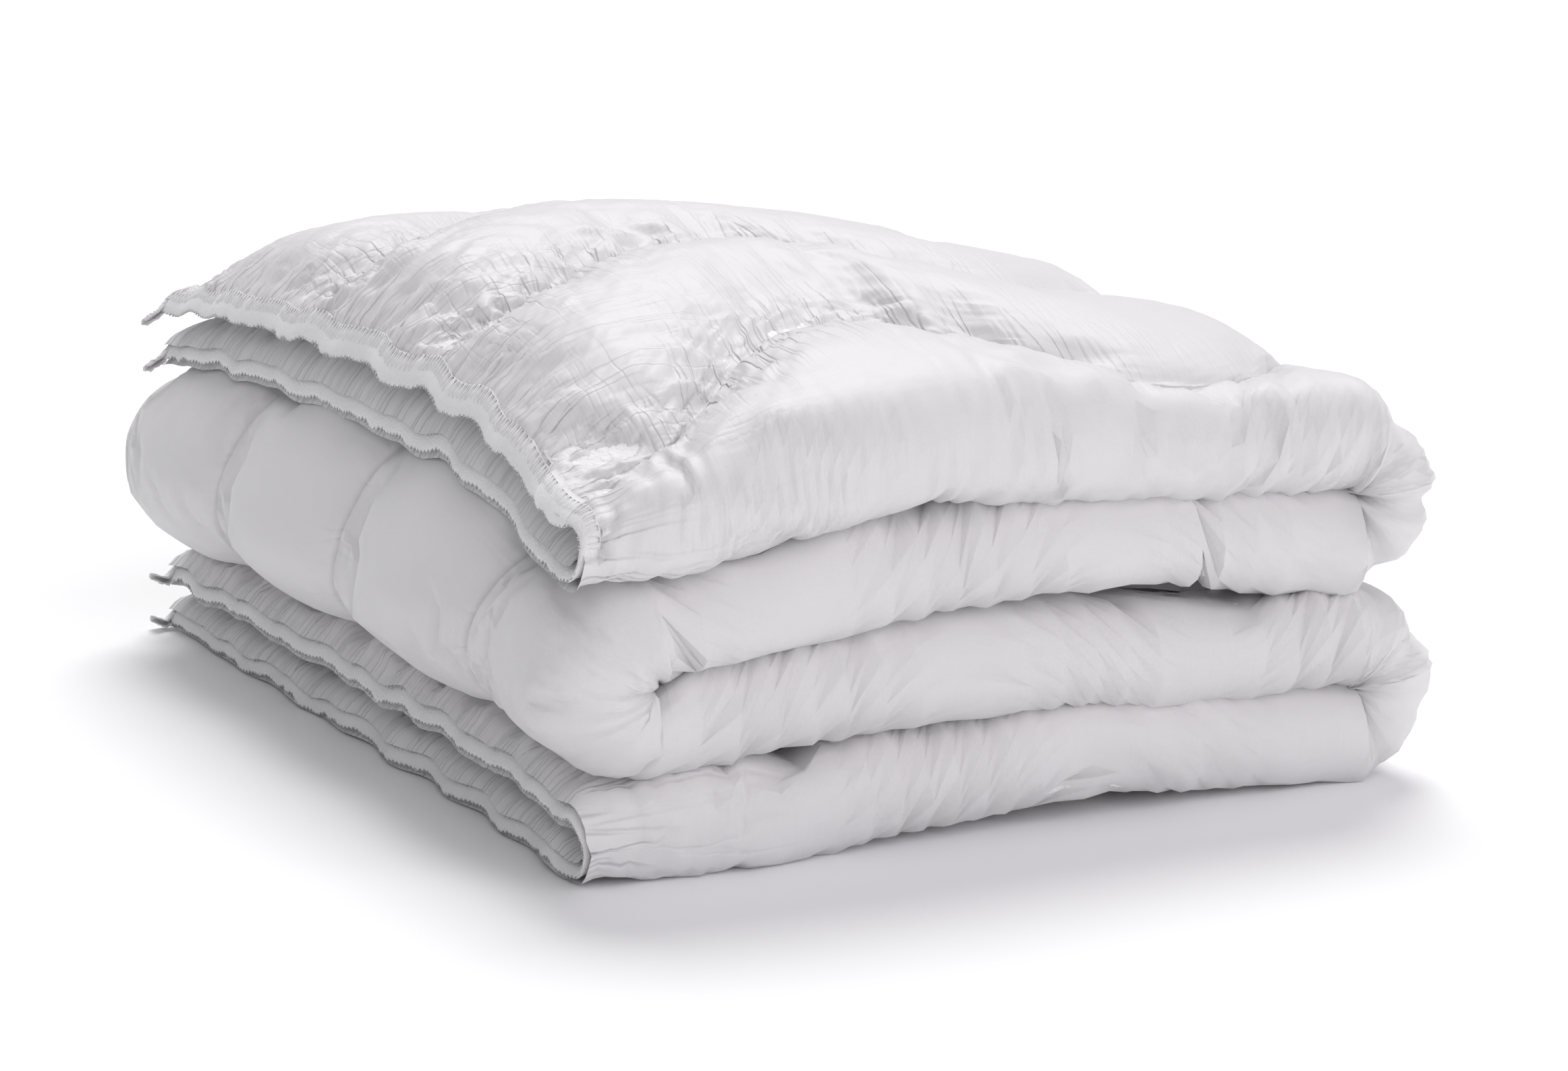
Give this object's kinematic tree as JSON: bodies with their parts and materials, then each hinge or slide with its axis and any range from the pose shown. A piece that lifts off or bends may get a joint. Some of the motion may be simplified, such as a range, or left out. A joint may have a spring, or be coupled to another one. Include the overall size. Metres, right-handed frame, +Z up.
{
  "type": "folded duvet",
  "caption": "White quilted duvet folded in half lengthwise and then zig-zag into a soft stack, with taped hems and wavy quilting seams.",
  "frame": {"origin": "middle of the underside, on the surface the stack lies on", "axes": "+X along the front fold, away from the open hems; -Y towards the front, where the lengthwise fold lies; +Z up"},
  "size_m": [0.5734, 0.7058, 0.2992],
  "materials": {
    "outer_cotton": "smooth tightly woven cotton with a faint satin sheen",
    "inner_cotton": "the same cotton on the reverse face",
    "fibre_batt": "soft loose fibre wadding",
    "binding_tape": "soft brushed woven tape",
    "patch_tape": "woven tape, a little brighter",
    "binding_thread": "spun sewing thread",
    "needle_thread": "spun sewing thread",
    "bobbin_thread": "spun sewing thread"
  },
  "bodies": {
    "root": {"outer_cover": "outer_cotton", "inner_cover": "inner_cotton", "fibre_filling": "fibre_batt", "head_binding": "binding_tape", "head_binding_thread": "binding_thread", "foot_binding": "binding_tape", "foot_binding_thread": "binding_thread", "upper_side_binding": "binding_tape", "upper_side_binding_thread": "binding_thread", "lower_side_binding": "binding_tape", "lower_side_binding_thread": "binding_thread", "closing_patch": "patch_tape", "needle_thread_1": "needle_thread", "bobbin_thread_1": "bobbin_thread", "needle_thread_2": "needle_thread", "bobbin_thread_2": "bobbin_thread", "needle_thread_3": "needle_thread", "bobbin_thread_3": "bobbin_thread", "needle_thread_4": "needle_thread", "bobbin_thread_4": "bobbin_thread", "needle_thread_5": "needle_thread", "bobbin_thread_5": "bobbin_thread", "needle_thread_6": "needle_thread", "bobbin_thread_6": "bobbin_thread"}
  },
  "joints": []
}
